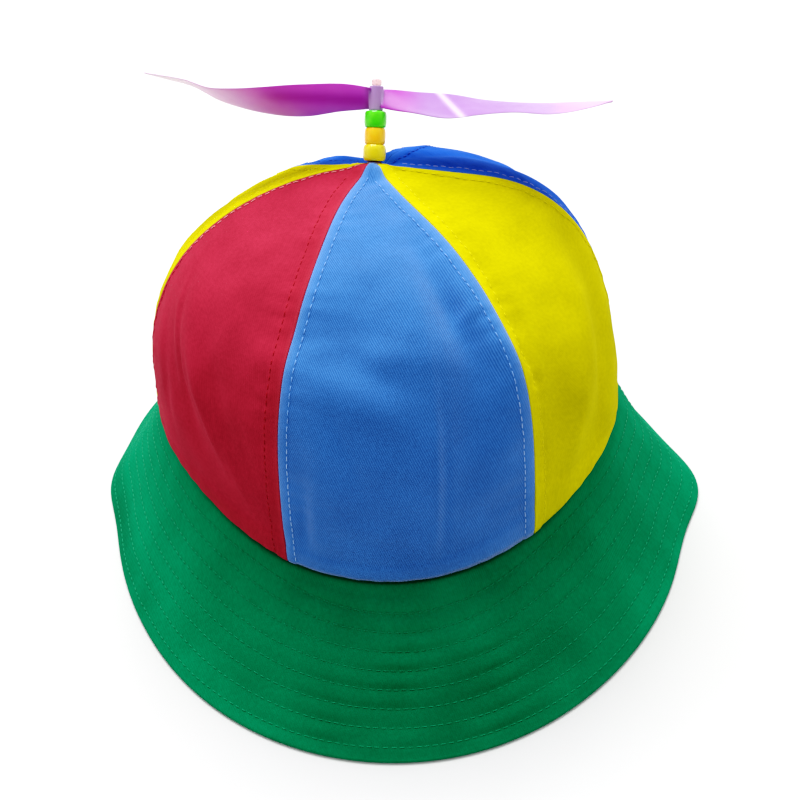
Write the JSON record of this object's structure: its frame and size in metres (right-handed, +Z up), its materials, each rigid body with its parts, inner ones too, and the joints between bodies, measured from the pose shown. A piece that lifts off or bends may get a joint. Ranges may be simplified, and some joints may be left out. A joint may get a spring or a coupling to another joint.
{
  "type": "propeller beanie",
  "caption": "Six-panel cloth cap with a sewn brim all round and a two-bladed plastic propeller that spins on a beaded post at its peak.",
  "frame": {"origin": "on the surface the cap rests on, under the middle of the brim's outline", "axes": "+Z up, -Y towards the front of the cap, +X to the right of a viewer who faces the front"},
  "size_m": [0.2462, 0.2806, 0.1761],
  "materials": {
    "cloth_light_blue": "cotton twill, light blue",
    "cloth_yellow": "cotton twill, bright yellow",
    "cloth_royal_blue": "cotton twill, royal blue",
    "cloth_red": "cotton twill, crimson",
    "cloth_green": "cotton twill, bright green, sewn in rows",
    "washer": "dark red",
    "bead_yellow": "glossy yellow",
    "bead_orange": "glossy orange",
    "bead_green": "glossy green",
    "post": "clear pale pink",
    "propeller": "clear violet"
  },
  "bodies": {
    "cap": {"panel_front": "cloth_light_blue", "panel_right_front": "cloth_yellow", "panel_right_rear": "cloth_royal_blue", "panel_rear": "cloth_royal_blue", "panel_left_rear": "cloth_yellow", "panel_left_front": "cloth_red", "brim": "cloth_green", "post": "post", "washer": "washer", "bead_yellow": "bead_yellow", "bead_orange": "bead_orange", "bead_green": "bead_green"},
    "propeller": {"propeller": "propeller"}
  },
  "joints": [
    {"name": "propeller_spin", "type": "hinge", "parent": "cap", "child": "propeller", "pos_m": [0.00134, 0.03656, 0.16509], "axis": [0.1219, 0.526, 0.8417], "continuous": true}
  ]
}
